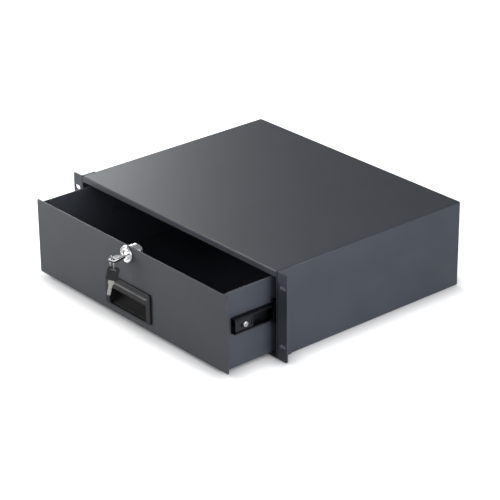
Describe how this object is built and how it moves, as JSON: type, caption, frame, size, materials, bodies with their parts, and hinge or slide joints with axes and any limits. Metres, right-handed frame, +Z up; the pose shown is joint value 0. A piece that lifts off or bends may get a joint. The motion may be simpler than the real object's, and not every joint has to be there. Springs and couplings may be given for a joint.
{
  "type": "sliding rack drawer",
  "caption": "Lockable 19-inch rack drawer with a steel case, slotted rack ears, a pull-out drawer on ball-bearing slides, a recessed handle and a cam lock with keys.",
  "frame": {"origin": "centre of the four rack bolt slots, in the front plane of the rack ears", "axes": "+X across the rack to the right as seen from the front, +Y back into the rack, +Z up; the drawer pulls out towards -Y"},
  "size_m": [0.4826, 0.4691, 0.132],
  "materials": {
    "case_paint": "fine textured powder coat",
    "front_paint": "fine textured powder coat",
    "slide_steel": "zinc plated, satin",
    "plate_steel": "zinc plated, satin",
    "cage_steel": "bright zinc",
    "ball_steel": "polished",
    "zinc_steel": "zinc plated",
    "spring_steel": "satin",
    "black_screw": "black oxide",
    "handle_plastic": "fine grained black plastic",
    "bow_plastic": "smooth black plastic",
    "chrome": "polished",
    "key_nickel": "nickel plated"
  },
  "bodies": {
    "case": {"case_cover": "case_paint", "case_bottom": "case_paint", "case_back": "case_paint", "back_screws": "black_screw", "back_nuts": "zinc_steel", "lock_strike": "case_paint", "rack_ear_left": "case_paint", "rack_ear_right": "case_paint", "outer_rail_left": "slide_steel", "outer_rail_right": "slide_steel", "rail_rivets_left": "zinc_steel", "rail_rivets_right": "zinc_steel", "rear_bumper_left": "bow_plastic", "rear_bumper_right": "bow_plastic"},
    "drawer": {"drawer_front": "front_paint", "drawer_tray": "case_paint", "drawer_back": "case_paint", "drawer_rivets": "zinc_steel", "front_nuts": "zinc_steel", "drawer_handle": "handle_plastic", "handle_clips": "spring_steel", "lock_housing": "chrome", "lock_nut": "zinc_steel", "inner_rail_left": "slide_steel", "inner_rail_right": "slide_steel", "rail_front_plate_left": "plate_steel", "rail_front_plate_right": "plate_steel", "rail_screws_left": "black_screw", "rail_screws_right": "black_screw", "rail_nuts_left": "zinc_steel", "rail_nuts_right": "zinc_steel", "rail_spacer_left": "zinc_steel", "rail_spacer_right": "zinc_steel"},
    "plug": {"lock_plug": "chrome", "lock_cam": "zinc_steel", "cam_screw": "zinc_steel"},
    "key": {"key_bow": "bow_plastic", "key_blade": "key_nickel"},
    "ring": {"key_ring": "key_nickel"},
    "spare_key": {"spare_bow": "bow_plastic", "spare_blade": "key_nickel"},
    "middle_left": {"middle_rail_left": "slide_steel"},
    "outer_cage_left": {"outer_ball_cage_left": "cage_steel", "outer_balls_left": "ball_steel"},
    "inner_cage_left": {"inner_ball_cage_left": "cage_steel", "inner_balls_left": "ball_steel"},
    "middle_right": {"middle_rail_right": "slide_steel"},
    "outer_cage_right": {"outer_ball_cage_right": "cage_steel", "outer_balls_right": "ball_steel"},
    "inner_cage_right": {"inner_ball_cage_right": "cage_steel", "inner_balls_right": "ball_steel"}
  },
  "joints": [
    {"name": "drawer_slide", "type": "slide", "parent": "case", "child": "drawer", "axis": [0, -1, 0], "range_m": [-0.0846, 0.1954]},
    {"name": "middle_slide_left", "type": "slide", "parent": "case", "child": "middle_left", "axis": [0, -1, 0], "range_m": [-0.0423, 0.0977]},
    {"name": "outer_cage_slide_left", "type": "slide", "parent": "case", "child": "outer_cage_left", "axis": [0, -1, 0], "range_m": [-0.02115, 0.04885]},
    {"name": "inner_cage_slide_left", "type": "slide", "parent": "case", "child": "inner_cage_left", "axis": [0, -1, 0], "range_m": [-0.06345, 0.14655]},
    {"name": "middle_slide_right", "type": "slide", "parent": "case", "child": "middle_right", "axis": [0, -1, 0], "range_m": [-0.0423, 0.0977]},
    {"name": "outer_cage_slide_right", "type": "slide", "parent": "case", "child": "outer_cage_right", "axis": [0, -1, 0], "range_m": [-0.02115, 0.04885]},
    {"name": "inner_cage_slide_right", "type": "slide", "parent": "case", "child": "inner_cage_right", "axis": [0, -1, 0], "range_m": [-0.06345, 0.14655]},
    {"name": "lock_turn", "type": "hinge", "parent": "drawer", "child": "plug", "pos_m": [0, -0.0846, 0.0417], "axis": [0, 1, 0], "range_deg": [0, 187.5]},
    {"name": "key_pull", "type": "slide", "parent": "plug", "child": "key", "axis": [0, -1, 0], "range_m": [0, 0.028]},
    {"name": "ring_swing", "type": "hinge", "parent": "key", "child": "ring", "pos_m": [-0.0066, -0.10734, 0.03873], "axis": [0.9367, -0.3502, 0], "range_deg": [-10, 6]},
    {"name": "spare_swing", "type": "hinge", "parent": "ring", "child": "spare_key", "pos_m": [-0.0066, -0.10734, 0.02233], "axis": [0.9367, -0.3502, 0], "range_deg": [-30, 10]}
  ],
  "couplings": [
    {"joint": "middle_slide_left", "follows": "drawer_slide", "ratio": 0.5},
    {"joint": "outer_cage_slide_left", "follows": "drawer_slide", "ratio": 0.25},
    {"joint": "inner_cage_slide_left", "follows": "drawer_slide", "ratio": 0.75},
    {"joint": "middle_slide_right", "follows": "drawer_slide", "ratio": 0.5},
    {"joint": "outer_cage_slide_right", "follows": "drawer_slide", "ratio": 0.25},
    {"joint": "inner_cage_slide_right", "follows": "drawer_slide", "ratio": 0.75}
  ]
}
